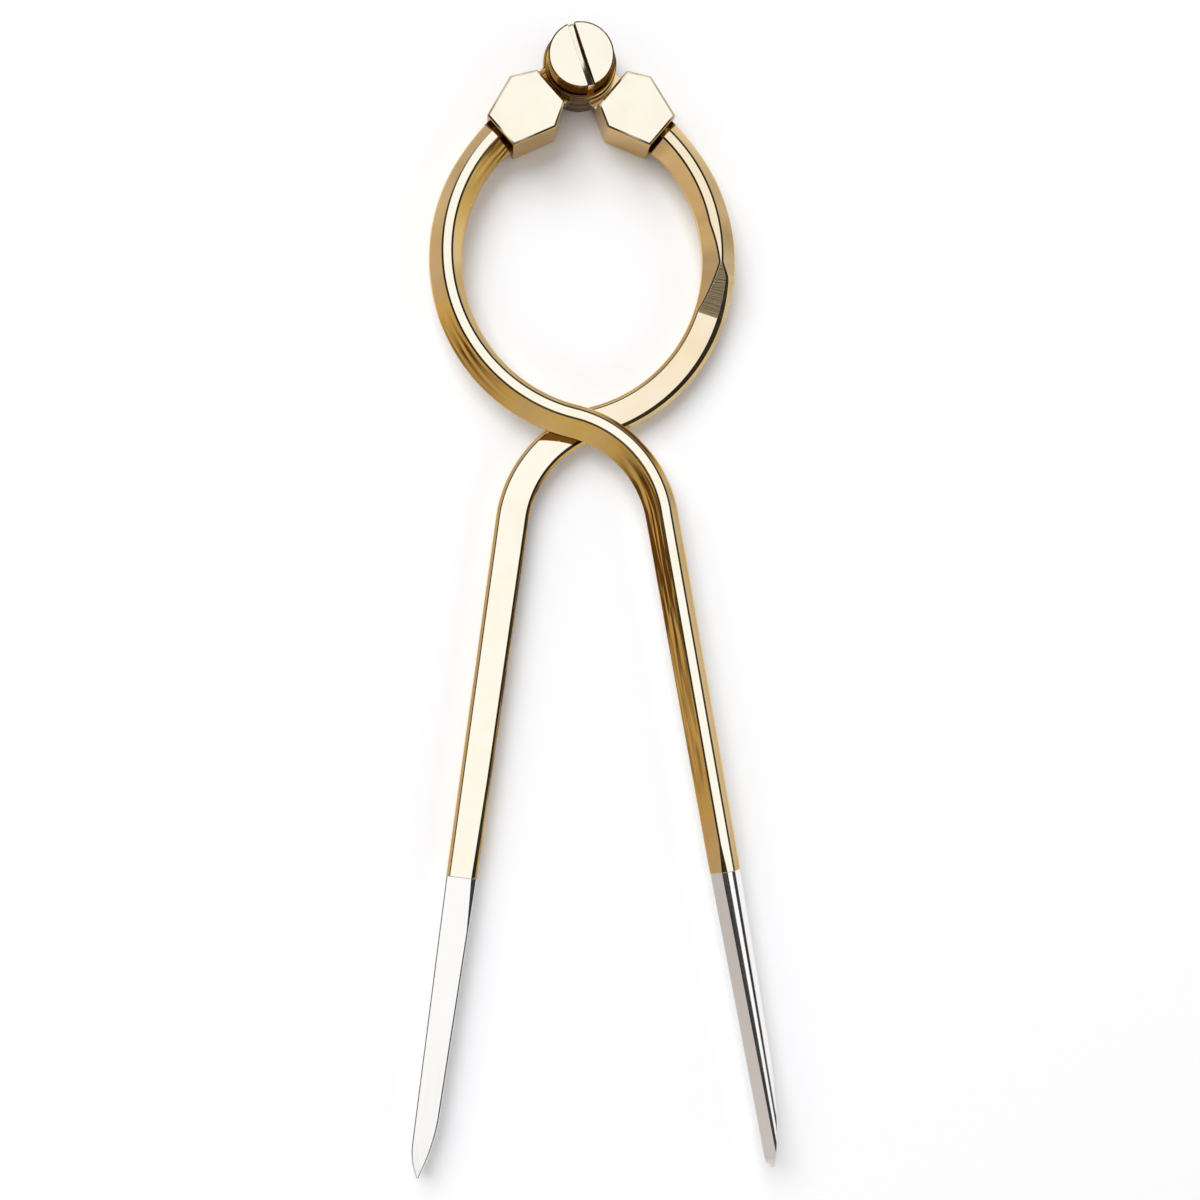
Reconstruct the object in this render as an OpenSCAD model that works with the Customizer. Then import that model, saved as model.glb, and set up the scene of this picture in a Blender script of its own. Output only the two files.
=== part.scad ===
// Navigation divider with two crossed bow arms, worked with one hand.
// Squeezing the bow opens the points, and squeezing the legs closes them.
// Z is the pivot axis, z = 0 is the table the divider lies on, and the points lie towards -Y.
// Both arms have the same shape: the rear arm is the front arm turned over about Y.

/* [Pose] */
// Angle of each leg from the centre line, in degrees
half_opening = 9.1; // [2:0.1:18]

/* [Bow and legs] */
// Distance from the pivot axis to a point
reach = 194; // [175:1:215]
// Radius of the bow's centre line
bow_radius = 28.5; // [26:0.1:31]
// Radius of the reverse bend that turns the bow into the leg
bend_radius = 20.5; // [16:0.5:26]
// How far the leg's centre line passes beside the pivot axis
leg_offset = 0.5; // [0:0.1:2]
// Width of the bar across the bow
bar_width = 5.7; // [5.2:0.1:6.4]
// Depth of the whole bar, before it is halved
bar_depth = 5.2; // [4.6:0.1:6]
// Width of the narrow flat along the bar's crest
crest_width = 1.7; // [1.2:0.1:2.2]
// How far the line of the crest is moved along the arm, towards the pivot
crest_shift = 1.1; // [0:0.1:1.4]
// How far the line of the crest is moved across the arm, towards the outside of the leg
crest_side_shift = 0.6; // [0:0.1:0.8]
// Height of the upright land on each side of the bar
side_land = 1.6; // [1.2:0.1:2.2]
// Width of a leg where its steel tip starts
joint_width = 5.3; // [4.8:0.1:5.6]
// Width of the bevel along both edges of the halved face
edge_bevel = 0.7; // [0.3:0.05:1]
// Depth of that bevel
edge_drop = 0.4; // [0.2:0.05:0.45]
// How much wider the bow is where it meets its collar
flare_width = 0.8; // [0:0.1:1]
// Angle round the bow over which that flare dies away
flare_angle = 14; // [6:1:24]
// Space between the two halved faces when the legs are closed
leg_gap = 0.2; // [0.1:0.05:0.4]
// Angle round the bow where the bar starts to be halved
ramp_start = 172; // [166:1:178]
// Angle round the bow where the bar is down to its half
ramp_end = 190; // [184:1:196]

/* [Steel tips] */
// Length of a tip outside its leg
tip_length = 52.5; // [45:0.5:60]
// Width that a tip's blade would have at its end, if it had no point
tip_width = 3.9; // [3.4:0.1:4.6]
// Length over which the front tip's outer edge closes in
front_outer_length = 23; // [12:0.5:30]
// Length over which the front tip's inner edge closes in
front_inner_length = 8; // [5:0.5:15]
// Width of the very end of the front tip
front_point_width = 1.5; // [0.4:0.1:1.6]
// How far that end stands outside the middle of the front tip
front_point_offset = -1.2; // [-1.2:0.05:0.5]
// Length over which the rear tip's outer edge closes in
rear_outer_length = 6; // [5:0.5:15]
// Length over which the rear tip's inner edge closes in
rear_inner_length = 12; // [8:0.5:30]
// Width of the very end of the rear tip
rear_point_width = 0.7; // [0.4:0.1:1.6]
// How far that end stands outside the middle of the rear tip
rear_point_offset = 0.25; // [-0.5:0.05:0.5]
// Thickness of a tip at its very end
point_thickness = 0.9; // [0.5:0.1:1.5]
// Length over which the crest falls to the end
crest_fall = 4.5; // [3:0.1:8]
// Diameter of the spigot that holds a tip in its leg
tip_spigot = 1.5; // [1.2:0.1:1.7]
// Length of that spigot
tip_spigot_length = 8; // [5:0.5:12]

/* [Collars] */
// Angle between a collar and its own leg, in degrees
collar_angle = 58; // [55:0.5:61]
// Distance from the pivot axis to the collar face where the bow starts
collar_end = 18.4; // [17:0.1:20]
// Distance from the pivot axis to the widest line of the collar
collar_waist = 10.9; // [10:0.1:12]
// Angle of a stop face from the collar's own line, in degrees
stop_angle = 28; // [26:0.5:30]
// How far the collar stands out round the bow's crest and sides
collar_step = 1.9; // [1.2:0.1:2.4]
// Lip of the collar beside the bow, on its end face
collar_lip = 0.55; // [0.3:0.05:1]
// Slant cut from the collar's inner face, beside the other arm's lug
collar_relief = 0.5; // [0.3:0.1:2]
// Diameter of the spigot that holds the bow in its collar
bow_spigot = 3.4; // [2.8:0.1:4]
// Length of that spigot
bow_spigot_length = 6; // [4:0.5:7]

/* [Hinge] */
// Diameter of the screw head
head_diameter = 11.1; // [10:0.1:12]
// Height of the screw head
head_height = 3.5; // [3:0.1:4.5]
// Bevel on the rim of the screw head and of the nut
rim_bevel = 0.3; // [0.1:0.05:0.5]
// Width of the driver slot
slot_width = 1.2; // [0.8:0.1:1.6]
// Depth of the driver slot
slot_depth = 1.5; // [1:0.1:2]
// Angle of the driver slot from Y, in degrees
slot_angle = 17.5; // [-90:0.5:90]
// Diameter of the screw's shank
shank_diameter = 4.9; // [4:0.1:5.5]
// Wall of the nut's sleeve round the shank
sleeve_wall = 1; // [0.8:0.1:1.5]
// Floor that closes the rear of the nut
nut_floor = 0.8; // [0.6:0.1:1]
// Thickness of a lug
lug_thickness = 2.2; // [1.8:0.1:2.6]
// How far a lug reaches past the screw head all round
lug_margin = 0.75; // [0.4:0.05:1.2]
// Thickness of the washer between the lugs
friction_washer_thickness = 0.3; // [0.2:0.05:0.5]
// Thickness of the sheet of the cone-shaped spring washer
spring_thickness = 0.35; // [0.3:0.05:0.5]
// Whole height of the spring washer
spring_height = 0.6; // [0.55:0.05:0.9]
// Thickness of the washers under the head and over the nut
washer_thickness = 0.6; // [0.4:0.05:0.8]
// How far the head washer and the spring washer stand inside the lug's rim
washer_inset = 0.3; // [0.1:0.05:0.8]

/* [Clearances] */
// Radial room of a running fit
running_fit = 0.05; // [0.03:0.01:0.1]
// Radial room round a spigot, for solder
solder_fit = 0.05; // [0.03:0.01:0.1]
// Room between faces that turn over each other
face_gap = 0.05; // [0.03:0.01:0.1]
// Room between a lug's rim and the other arm's collar
swing_room = 0.4; // [0.3:0.05:0.6]
// Room beyond the end of a spigot or of the shank
end_room = 0.3; // [0.2:0.05:0.6]

/* [Hidden] */
$fn = 96;
arc_step = 3;
overcut = 1;
long_arc_sides = 720;
brass = "#c9a55a";
gold_brass = "#b98d43";
steel = "#d5d3d0";

// Heights, measured in an arm's own frame from the plane between the arms
crest_level = bar_depth / 2;
half_level = leg_gap / 2;
collar_half = crest_level + collar_step;
lug_low = friction_washer_thickness / 2 + face_gap;
lug_high = lug_low + lug_thickness;

// Heights above the table
mid_plane = collar_half;
spring_base = mid_plane + lug_high;
head_washer_base = spring_base + spring_height + face_gap;
head_base = head_washer_base + washer_thickness;
rear_washer_base = mid_plane - lug_high - washer_thickness;
sleeve_top = spring_base - end_room;

// The hinge, across the pivot axis
head_radius = head_diameter / 2;
lug_radius = head_radius + lug_margin;
sleeve_radius = shank_diameter / 2 + running_fit + sleeve_wall;
pivot_bore = sleeve_radius + running_fit;
washer_bore = shank_diameter / 2 + 2 * running_fit;

// Collar outline: u runs from the pivot axis along the collar, v across it
collar_start = lug_radius + swing_room;
collar_start_half = collar_start * tan(stop_angle);
collar_waist_half = collar_waist * tan(stop_angle);
collar_end_half = bar_width / 2 + collar_lip;
collar_turn = 270 - collar_angle;

// Arm centre line, with the leg along -Y: bow circle, reverse bend, straight leg
collar_line = [cos(collar_turn), sin(collar_turn)];
bow_side = [-sin(collar_turn), cos(collar_turn)];
bow_centre = collar_end * collar_line + bow_radius * bow_side;
bow_first = 180 - collar_angle;
bend_across = leg_offset - bend_radius - bow_centre.x;
bend_down = sqrt((bow_radius + bend_radius) ^ 2 - bend_across ^ 2);
bend_centre = [leg_offset - bend_radius, bow_centre.y - bend_down];
bend_turn = atan2(bend_down, -bend_across);
bow_last = 180 + bend_turn;
joint_level = -(reach - tip_length);

// The slopes beside the crest, and how much faster than the bar the crest narrows
slope_rise = crest_level - side_land / 2;
crest_taper = 3;

// Height of a tip's spigot, in the middle of the halved bar
tip_spigot_level = (crest_level + half_level) / 2;

// Places a shape that is drawn in an arm's frame
module front_arm() {
    translate([0, 0, mid_plane])
        rotate([0, 0, half_opening])
            children();
}

module rear_arm() {
    translate([0, 0, mid_plane])
        rotate([0, 0, -half_opening])
            rotate([0, 180, 0])
                children();
}

// Turns a shape drawn along X so that it lies along the collar
module along_collar() {
    rotate([0, 0, collar_turn])
        children();
}

// Corners of the bar at one width, with all below the cut level taken away.
// The crest stands off the middle by its lean and narrows with a narrow bar. A cut face has bevelled edges.
function section(width, cut, lean) =
    let (
        side = width / 2,
        crest = crest_width / 2 * min(1, width / bar_width) ^ crest_taper,
        climb = (cut + crest_level) / slope_rise,
        low_left = max(lean - crest - climb * (side - crest + lean), edge_bevel - side),
        low_right = min(lean + crest + climb * (side - crest - lean), side - edge_bevel),
        shoulder = max(cut + edge_drop, -side_land / 2)
    )
    [
        [low_left, cut], [low_right, cut], [side, shoulder], [side, side_land / 2],
        [lean + crest, crest_level], [lean - crest, crest_level], [-side, side_land / 2], [-side, shoulder]
    ];

// Stands a section up at a place on the centre line, square to its run
function ring(place, across, width, cut) = [
    for (p = section(width, cut, crest_side_shift * across.x + crest_shift * across.y))
        [place.x + p.x * across.x, place.y + p.x * across.y, p.y]
];

// Angles from one to another in equal steps, without the first
function spread(from, to) =
    let (count = ceil(abs(to - from) / arc_step))
    [for (i = [1 : count]) from + (to - from) * i / count];

// Level below which the bar is cut away, at an angle round the bow
function cut_level(angle) = lookup(angle, [[ramp_start, -crest_level], [ramp_end, half_level]]);

// Width of the bow at an angle round it
function bow_width(angle) =
    bar_width + flare_width * max(0, 1 - (angle - bow_first) / flare_angle) ^ 2;

function direction(angle) = [cos(angle), sin(angle)];

// Closed solid over a row of rings that run away from the viewer with their corners anticlockwise
module skin(rings) {
    count = len(rings[0]);
    last = len(rings) - 1;
    sides = [
        for (row = [0 : last - 1], i = [0 : count - 1])
            let (next = (i + 1) % count, here = row * count, there = here + count)
            each [[here + i, here + next, there + next], [here + i, there + next, there + i]]
    ];
    start_cap = [for (i = [count - 1 : -1 : 0]) i];
    end_cap = [for (i = [0 : count - 1]) last * count + i];
    polyhedron([for (row = rings) each row], concat([start_cap, end_cap], sides));
}

// The bar from the collar: whole bow, ramp, halved bow, reverse bend and straight leg
module bar() {
    bow_angles = concat(
        [bow_first], spread(bow_first, ramp_start), spread(ramp_start, ramp_end), spread(ramp_end, bow_last)
    );
    skin(concat(
        [
            for (a = bow_angles)
                ring(bow_centre + bow_radius * direction(a), direction(a), bow_width(a), cut_level(a))
        ],
        [
            for (a = spread(bend_turn, 0))
                ring(bend_centre + bend_radius * direction(a), -direction(a), bar_width, half_level)
        ],
        [ring([leg_offset, joint_level], [-1, 0], joint_width, half_level)]
    ));
}

// Round spigot that enters the collar, rooted a little way inside the bow
module bow_root() {
    along_collar()
        translate([collar_end - bow_spigot_length, 0, 0])
            rotate([0, 90, 0])
                cylinder(d = bow_spigot, h = bow_spigot_length + end_room);
}

module tip_socket() {
    translate([leg_offset, joint_level + tip_spigot_length + end_room, tip_spigot_level])
        rotate([90, 0, 0])
            cylinder(r = tip_spigot / 2 + solder_fit, h = tip_spigot_length + end_room + overcut);
}

// One brass leg, with the spigot at its bow and the socket for its tip
module leg() {
    difference() {
        union() {
            bar();
            bow_root();
        }
        tip_socket();
    }
}

// Half the width of a tip's blade, at a distance from its end
function blade_half(from_end) = (tip_width + (joint_width - tip_width) * from_end / tip_length) / 2;

// All that lies inside a tip's outer edge: an arc that leaves the blade's side and closes in on the end
module inside_edge(arc_from, end_edge, end_level) {
    start = arc_from - reach;
    side = blade_half(arc_from);
    run = start - end_level;
    move_in = side - end_edge;
    arc_radius = (run ^ 2 + move_in ^ 2) / (2 * move_in);
    translate([-bar_width, start])
        square([2 * bar_width, tip_length]);
    intersection() {
        translate([side - arc_radius, start])
            circle(arc_radius, $fn = long_arc_sides);
        translate([-bar_width, end_level])
            square([2 * bar_width, run]);
    }
}

// Plan of a tip: both edges close in on a small round end that may stand off the middle
module tip_plan(end_width, offset, outer_length, inner_length) {
    end_radius = end_width / 2;
    end_level = end_radius - reach;
    intersection() {
        inside_edge(outer_length, end_radius + offset, end_level);
        mirror([1, 0])
            inside_edge(inner_length, end_radius - offset, end_level);
    }
    translate([offset, end_level])
        circle(end_radius);
}

// Side view of a tip, along the leg and up: the crest falls to a thin end
module tip_side() {
    polygon([
        [joint_level + overcut, -overcut], [joint_level + overcut, crest_level],
        [crest_fall - reach, crest_level], [-reach, half_level + point_thickness],
        [-reach, -overcut]
    ]);
}

// Blade of a tip: the leg's halved bar, tapered on and ground to the plan that is its child
module tip_blade() {
    intersection() {
        skin([
            ring([0, joint_level], [-1, 0], joint_width, half_level),
            ring([0, -reach], [-1, 0], tip_width, half_level)
        ]);
        linear_extrude(bar_depth)
            children();
        translate([-joint_width, 0, 0])
            rotate([90, 0, 90])
                linear_extrude(2 * joint_width)
                    tip_side();
    }
}

// One steel tip on a plan, with the spigot that enters the leg
module tip() {
    translate([leg_offset, 0, 0]) {
        tip_blade()
            children();
        translate([0, joint_level + tip_spigot_length, tip_spigot_level])
            rotate([90, 0, 0])
                cylinder(d = tip_spigot, h = tip_spigot_length + end_room);
    }
}

module collar_plan() {
    polygon([
        [collar_start, -collar_start_half], [collar_waist, -collar_waist_half],
        [collar_end, -collar_end_half], [collar_end, collar_end_half],
        [collar_waist, collar_waist_half], [collar_start, collar_start_half]
    ]);
}

// Slanted cut that keeps the collar's inner face clear of the other arm's side of the hinge
module relief_cut() {
    translate([0, collar_waist, 0])
        rotate([90, 0, 0])
            linear_extrude(2 * collar_waist)
                polygon([
                    [collar_start - overcut, 0], [collar_start, 0],
                    [collar_start + collar_relief, -collar_half],
                    [collar_start + collar_relief, -collar_half - overcut],
                    [collar_start - overcut, -collar_half - overcut]
                ]);
}

// One hexagonal collar with the lug that turns on the nut's sleeve
module collar() {
    along_collar()
        difference() {
            union() {
                difference() {
                    translate([0, 0, -collar_half])
                        linear_extrude(2 * collar_half)
                            collar_plan();
                    relief_cut();
                }
                translate([0, 0, lug_low])
                    cylinder(r = lug_radius, h = lug_thickness);
                translate([0, -collar_start_half, lug_low])
                    cube([collar_waist, 2 * collar_start_half, lug_thickness]);
            }
            cylinder(r = pivot_bore, h = 2 * collar_half);
            translate([collar_end - bow_spigot_length - end_room, 0, 0])
                rotate([0, 90, 0])
                    cylinder(r = bow_spigot / 2 + solder_fit, h = bow_spigot_length + end_room + overcut);
        }
}

module flat_washer(radius, bore, thickness) {
    difference() {
        cylinder(r = radius, h = thickness);
        translate([0, 0, -overcut])
            cylinder(r = bore, h = thickness + 2 * overcut);
    }
}

module front_leg() {
    color(brass)
        front_arm()
            leg();
}

module rear_leg() {
    color(brass)
        rear_arm()
            leg();
}

module front_collar() {
    color(gold_brass)
        front_arm()
            collar();
}

module rear_collar() {
    color(gold_brass)
        rear_arm()
            collar();
}

module front_tip() {
    color(steel)
        front_arm()
            tip()
                tip_plan(front_point_width, front_point_offset, front_outer_length, front_inner_length);
}

module rear_tip() {
    color(steel)
        rear_arm()
            tip()
                tip_plan(rear_point_width, rear_point_offset, rear_outer_length, rear_inner_length);
}

// Slotted screw: its round head and the shank that enters the nut
module pivot_screw() {
    head_top = head_base + head_height;
    shank_end = nut_floor + end_room;
    color(brass)
        difference() {
            rotate_extrude()
                polygon([
                    [0, shank_end], [shank_diameter / 2, shank_end],
                    [shank_diameter / 2, head_base], [head_radius, head_base],
                    [head_radius, head_top - rim_bevel], [head_radius - rim_bevel, head_top],
                    [0, head_top]
                ]);
            rotate([0, 0, slot_angle])
                translate([-slot_width / 2, -head_diameter, head_top - slot_depth])
                    cube([slot_width, 2 * head_diameter, slot_depth + overcut]);
        }
}

module head_washer() {
    color(brass)
        translate([0, 0, head_washer_base])
            flat_washer(lug_radius - washer_inset, washer_bore, washer_thickness);
}

// Cone-shaped spring washer, high at its bore, that keeps the hinge stiff
module spring_washer() {
    rise = spring_height - spring_thickness;
    rim = lug_radius - washer_inset;
    color(steel)
        translate([0, 0, spring_base])
            rotate_extrude()
                polygon([
                    [washer_bore, rise], [rim, 0],
                    [rim, spring_thickness], [washer_bore, spring_height]
                ]);
}

module friction_washer() {
    color(gold_brass)
        translate([0, 0, mid_plane - friction_washer_thickness / 2])
            flat_washer(lug_radius, pivot_bore, friction_washer_thickness);
}

module rear_washer() {
    color(brass)
        translate([0, 0, rear_washer_base])
            flat_washer(lug_radius, pivot_bore, washer_thickness);
}

// Blind nut: a flange that is flush with the collars, and a sleeve that both lugs turn on
module pivot_nut() {
    color(brass)
        difference() {
            rotate_extrude()
                polygon([
                    [0, 0], [lug_radius - rim_bevel, 0], [lug_radius, rim_bevel],
                    [lug_radius, rear_washer_base], [sleeve_radius, rear_washer_base],
                    [sleeve_radius, sleeve_top], [0, sleeve_top]
                ]);
            translate([0, 0, nut_floor])
                cylinder(r = shank_diameter / 2 + running_fit, h = sleeve_top);
        }
}

front_leg();
rear_leg();
front_collar();
rear_collar();
front_tip();
rear_tip();
pivot_screw();
head_washer();
spring_washer();
friction_washer();
rear_washer();
pivot_nut();
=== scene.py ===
"""Dresses a one-hand navigation divider: crossed brass arms, steel tips and a slotted screw."""

import math
from types import SimpleNamespace

import bmesh
import bpy
from bpy.props import FloatProperty, FloatVectorProperty, PointerProperty
from mathutils import Matrix, Vector


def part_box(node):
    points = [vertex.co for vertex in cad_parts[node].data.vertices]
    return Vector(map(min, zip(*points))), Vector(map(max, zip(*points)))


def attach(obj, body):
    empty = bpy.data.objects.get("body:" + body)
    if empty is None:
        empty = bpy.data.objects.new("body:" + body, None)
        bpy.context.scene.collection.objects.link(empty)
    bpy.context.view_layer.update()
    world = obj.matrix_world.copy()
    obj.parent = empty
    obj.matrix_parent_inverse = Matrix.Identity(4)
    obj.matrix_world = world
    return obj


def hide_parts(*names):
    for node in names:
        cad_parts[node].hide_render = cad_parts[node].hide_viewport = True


bl_info = {
    "name": "Navigation Divider",
    "version": (1, 0, 0),
    "blender": (4, 5, 0),
    "location": "3D View > Sidebar > Divider",
    "description": "Builds the polished brass and steel skin of a one-hand navigation divider",
    "category": "Add Mesh",
}

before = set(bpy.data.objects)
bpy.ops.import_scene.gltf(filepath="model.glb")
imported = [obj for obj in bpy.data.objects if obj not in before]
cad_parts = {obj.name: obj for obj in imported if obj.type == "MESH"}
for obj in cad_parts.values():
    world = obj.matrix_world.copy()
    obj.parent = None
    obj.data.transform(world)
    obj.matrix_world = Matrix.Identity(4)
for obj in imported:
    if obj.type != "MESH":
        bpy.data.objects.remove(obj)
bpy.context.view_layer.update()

MM = 0.001

# Places in the hinge come from the solids: the plane between the arms halves the friction washer
FRICTION_LOW, FRICTION_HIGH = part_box("friction_washer")
MID_PLANE = (FRICTION_LOW.z + FRICTION_HIGH.z) / 2
HEAD_LOW, HEAD_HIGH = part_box("pivot_screw")
HEAD_WASHER_LOW, HEAD_WASHER_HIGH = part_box("head_washer")
SPRING_LOW, SPRING_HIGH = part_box("spring_washer")
REAR_WASHER_LOW, REAR_WASHER_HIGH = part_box("rear_washer")
NUT_LOW, NUT_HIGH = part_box("pivot_nut")


def length(name, description, millimetres):
    """A size of the divider, given in millimetres and kept in metres."""
    return FloatProperty(
        name=name, description=description, default=millimetres * MM, unit="LENGTH", precision=5
    )


def angle(name, description, degrees):
    """An angle of the divider, given in degrees."""
    return FloatProperty(
        name=name, description=description, default=math.radians(degrees), subtype="ANGLE"
    )


def linear_colour(code):
    """Linear red, green and blue of an sRGB hex colour."""
    parts = [int(code[i : i + 2], 16) / 255 for i in (1, 3, 5)]
    return tuple(p / 12.92 if p <= 0.04045 else ((p + 0.055) / 1.055) ** 2.4 for p in parts)


def colour(name, description, code):
    """A colour of the divider or its stage, given as sRGB hex."""
    return FloatVectorProperty(
        name=name, description=description, default=linear_colour(code), subtype="COLOR",
        min=0, max=1,
    )


class DividerSizes(bpy.types.PropertyGroup):
    """Sizes of the divider: those of its solids, then those that only its polish gives"""

    half_opening: angle("Half opening", "Angle of each leg from the centre line", 9.1)
    reach: length("Reach", "Distance from the pivot axis to a point", 194)
    bow_radius: length("Bow radius", "Radius of the bow's centre line", 28.5)
    bend_radius: length("Bend radius", "Radius of the reverse bend between bow and leg", 20.5)
    leg_offset: length("Leg offset", "How far the leg's centre line passes beside the pivot", 0.5)
    bar_width: length("Bar width", "Width of the bar across the bow", 5.7)
    bar_depth: length("Bar depth", "Depth of the whole bar, before it is halved", 5.2)
    crest_width: length("Crest width", "Width of the narrow flat along the bar's crest", 1.7)
    crest_shift: length("Crest shift", "How far the crest is moved along the arm to the pivot", 1.1)
    crest_side_shift: length("Crest side shift", "How far the crest is moved outwards", 0.6)
    side_land: length("Side land", "Height of the upright land on each side of the bar", 1.6)
    joint_width: length("Joint width", "Width of a leg where its steel tip starts", 5.3)
    edge_bevel: length("Edge bevel", "Width of the bevel along both edges of the halved face", 0.7)
    edge_drop: length("Edge drop", "Depth of that bevel", 0.4)
    flare_width: length("Flare width", "How much wider the bow is where it meets its collar", 0.8)
    flare_angle: angle("Flare angle", "Angle round the bow over which that flare dies away", 14)
    leg_gap: length("Leg gap", "Space between the two halved faces when the legs are closed", 0.2)
    ramp_start: angle("Ramp start", "Angle round the bow where the bar starts to be halved", 172)
    ramp_end: angle("Ramp end", "Angle round the bow where the bar is down to its half", 190)
    tip_length: length("Tip length", "Length of a tip outside its leg", 52.5)
    tip_width: length("Tip width", "Width of a tip's blade at its end, if it had no point", 3.9)
    front_outer_length: length("Front outer length", "Run of the front tip's outer curve", 23)
    front_inner_length: length("Front inner length", "Run of the front tip's inner curve", 8)
    front_point_width: length("Front point width", "Width of the very end of the front tip", 1.5)
    front_point_offset: length("Front point offset", "How far that end stands outwards", -1.2)
    rear_outer_length: length("Rear outer length", "Run of the rear tip's outer curve", 6)
    rear_inner_length: length("Rear inner length", "Run of the rear tip's inner curve", 12)
    rear_point_width: length("Rear point width", "Width of the very end of the rear tip", 0.7)
    rear_point_offset: length("Rear point offset", "How far that end stands outwards", 0.25)
    point_thickness: length("Point thickness", "Thickness of a tip at its very end", 0.9)
    collar_angle: angle("Collar angle", "Angle between a collar and its own leg", 58)
    collar_end: length("Collar end", "Distance from the pivot axis to the start of the bow", 18.4)
    collar_waist: length("Collar waist", "Distance from the pivot axis to its widest line", 10.9)
    stop_angle: angle("Stop angle", "Angle of a stop face from the collar's own line", 28)
    collar_step: length("Collar step", "How far the collar stands out round the bow", 1.9)
    collar_lip: length("Collar lip", "Lip of the collar beside the bow, on its end face", 0.55)
    collar_relief: length("Collar relief", "Slant cut from the collar's inner face", 0.5)
    head_height: length("Head height", "Height of the screw head", 3.5)
    slot_width: length("Slot width", "Width of the driver slot", 1.2)
    slot_depth: length("Slot depth", "Depth of the driver slot", 1.5)
    slot_angle: angle("Slot angle", "Angle of the driver slot from Y", 17.5)
    shank_diameter: length("Shank diameter", "Diameter of the screw's shank", 4.9)
    pivot_bore: length("Pivot bore", "Radius of the bore in the lugs and the rear washer", 3.55)
    washer_bore: length("Washer bore", "Radius of the bore in the washers under the head", 2.55)
    sleeve_radius: length("Sleeve radius", "Outer radius of the nut's sleeve", 3.5)
    nut_floor: length("Nut floor", "Floor that closes the rear of the nut", 0.8)
    lug_radius: length("Lug radius", "Radius of a lug", 6.3)
    lug_low: length("Lug low", "Height of a lug's inner face above the middle plane", 0.2)
    lug_high: length("Lug high", "Height of a lug's outer face above the middle plane", 2.4)
    swing_room: length("Swing room", "Room between a lug's rim and the other arm's collar", 0.4)
    slope_tilt: angle("Slope tilt", "How far the slopes of the bar lean from the flat at most", 37)
    outer_bevel: length("Outer bevel", "Width of the bow's outer bevel where the halving ends", 1.5)
    outer_drop: length("Outer drop", "Depth of that bevel", 0.68)
    outer_line: length("Outer line", "Width of the shoulder along that bevel", 0.95)
    pinch_angle: angle("Pinch angle", "Angle over which the crest narrows before its ramp", 14)
    crest_flat: length("Crest flat", "Width of the crest that polishing left flat", 1.3)
    shoulder_width: length("Shoulder width", "Width of the shoulders beside the crest", 0.38)
    shoulder_tilt: angle("Shoulder tilt", "How far that shoulder leans from the flat", 18)
    inner_tilt: angle("Inner tilt", "The same inside the rear crest, before the bow is halved", 26)
    outer_tilt: angle("Outer tilt", "The same outside the rear crest, before the bow is halved", 12)
    edge_line: length("Edge line", "Width of the shoulder along the edges of the halved face", 0.2)
    leg_line: length("Leg line", "Width of that shoulder on the inner edge of the leg", 0.45)
    # Painted shade: where the other arm lies over the halved face, its shade is painted as a brown
    # mark
    crossing_shade: length("Crossing shade", "Distance along the bar to the shade painted under the other arm", 71)
    face_line: length("Face line", "Width of the shoulder round the face of the screw head", 0.16)
    collar_line: length("Collar line", "Width of the shoulder round the faces of the collars", 0.2)
    collar_tilt: angle("Collar tilt", "How far that shoulder leans from the flat", 30)
    edge_round: length("Edge rounding", "Radius of the bar's other polished edges", 0.3)
    collar_round: length("Collar rounding", "Radius of the collar's polished edges", 0.3)
    turned_round: length("Turned rounding", "Radius on the edges of screw head and nut", 0.13)


class DividerColours(bpy.types.PropertyGroup):
    """Colours of the divider's finishes and of the floor"""

    # Bright and golden brass are a lit and a shaded copy of one brass: the bright one is a painted
    # highlight on the flats, the golden one goes on the slopes and sides
    bright_brass: colour("Bright brass", "Brass on the flats, painted bright as a highlight", "#F8F2E2")
    golden_brass: colour("Golden brass", "Brass on the slopes and sides", "#E2B866")
    # Painted shade: this brown darkens the hinge, the bar's root, the crossing and stretches of the
    # slopes
    shade_brown: colour("Brown brass", "Brass in the hinge and elsewhere, painted brown as shade", "#6A4318")
    filed_brass: colour("Filed brass", "Brass of the filed ramps", "#988768")
    ground_steel: colour("Ground steel", "Steel of the tips", "#F6F4F2")
    spring_steel: colour("Spring steel", "Steel of the spring washer", "#8F8C86")
    floor: colour("Floor", "Colour of the floor", "#FAFBFD")


def direction(turn):
    """Unit vector in the plane of the arms, turned from X."""
    return Vector((math.cos(turn), math.sin(turn)))


def mix(start, end, share):
    """Value that lies a share of the way from start to end."""
    return start + (end - start) * share


def held(value, most=1):
    """The value, held between 0 and the most that it may be."""
    return min(most, max(0, value))


def fade(distance, run):
    """1 at no distance, falling evenly to 0 at the end of the run."""
    return max(0, 1 - distance / run)


def spread(start, end, step):
    """Values from start to end in equal steps no longer than step, without the first."""
    count = max(1, math.ceil(abs(end - start) / step))
    return [start + (end - start) * i / count for i in range(1, count + 1)]


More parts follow.
